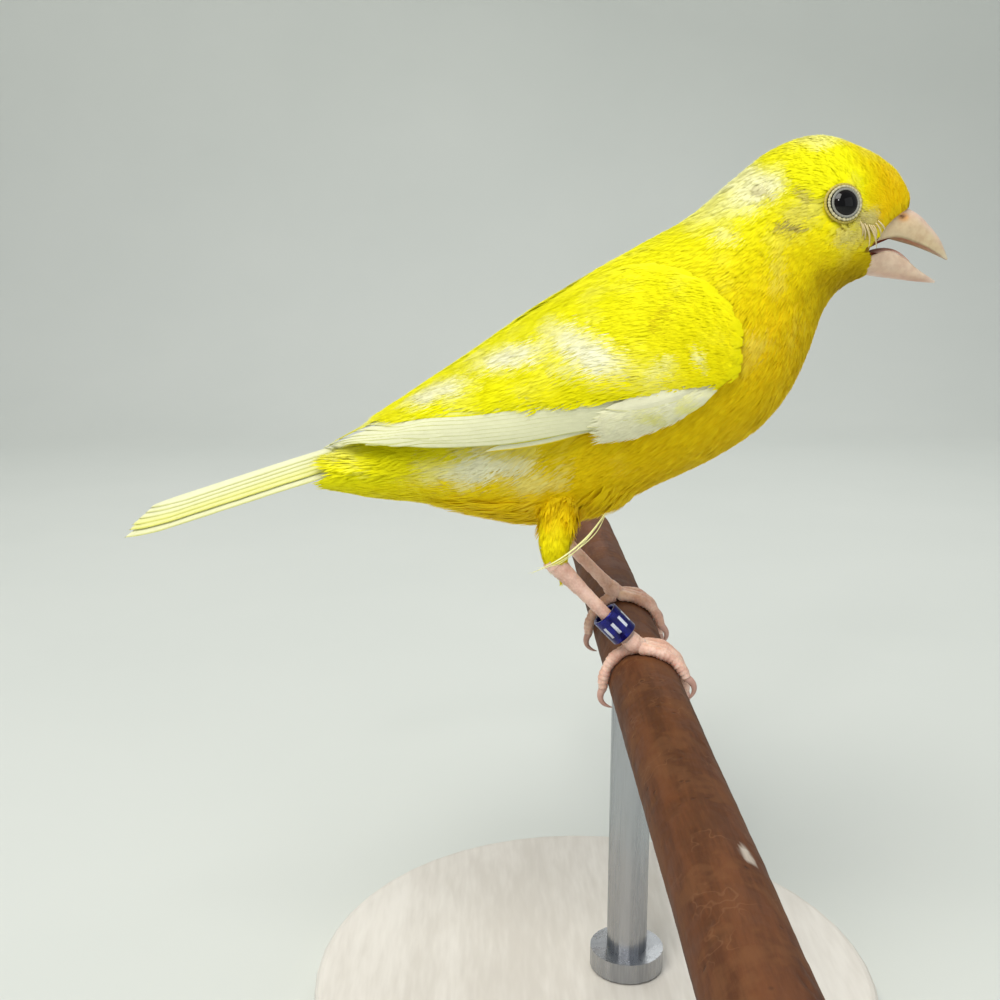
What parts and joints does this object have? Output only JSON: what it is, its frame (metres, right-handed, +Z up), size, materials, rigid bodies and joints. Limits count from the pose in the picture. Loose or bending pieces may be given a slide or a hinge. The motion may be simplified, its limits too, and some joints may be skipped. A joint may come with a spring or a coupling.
{
  "type": "perched canary display model",
  "caption": "Life-size still model of a yellow canary with folded wings and parted bill, gripping a round wooden perch held on a plain display stand.",
  "frame": {"origin": "centre of the stand base's underside", "axes": "+X the way the bird faces, +Y its left side and along the perch, +Z up"},
  "size_m": [0.1124, 0.166, 0.1273],
  "materials": {
    "plumage": "soft overlapping yellow feathers, golden on the forehead, paler on the back",
    "flight_feathers": "silky cream white feathers with lemon yellow edges",
    "eye": "wet, near black, with a dark brown iris",
    "bill_horn": "semi-matt pinkish horn, paler at the tips",
    "mouth_lining": "moist reddish brown",
    "leg_skin": "pinkish flesh skin with low scutes",
    "claw_horn": "thin horn, grey at the tip",
    "ring_metal": null,
    "perch_wood": "matt reddish brown stained wood with scuffs and pits",
    "stand_base": "satin off-white lacquer",
    "stand_rod": "fine brushed steel"
  },
  "bodies": {
    "root": {"head": "plumage", "neck": "plumage", "torso": "plumage", "rump": "plumage", "tail": "flight_feathers", "wing_right": "flight_feathers", "wing_left": "flight_feathers", "eye_right": "eye", "eye_left": "eye", "bill_upper": "bill_horn", "bill_lower": "bill_horn", "tongue": "mouth_lining", "thigh_right": "plumage", "thigh_left": "plumage", "shank_right": "leg_skin", "shank_left": "leg_skin", "foot_right": "leg_skin", "foot_left": "leg_skin", "claw_hallux_right": "claw_horn", "claw_hallux_left": "claw_horn", "claw_inner_right": "claw_horn", "claw_inner_left": "claw_horn", "claw_middle_right": "claw_horn", "claw_middle_left": "claw_horn", "claw_outer_right": "claw_horn", "claw_outer_left": "claw_horn", "leg_ring": "ring_metal", "perch": "perch_wood", "stand_base": "stand_base", "stand_rod": "stand_rod"}
  },
  "joints": []
}
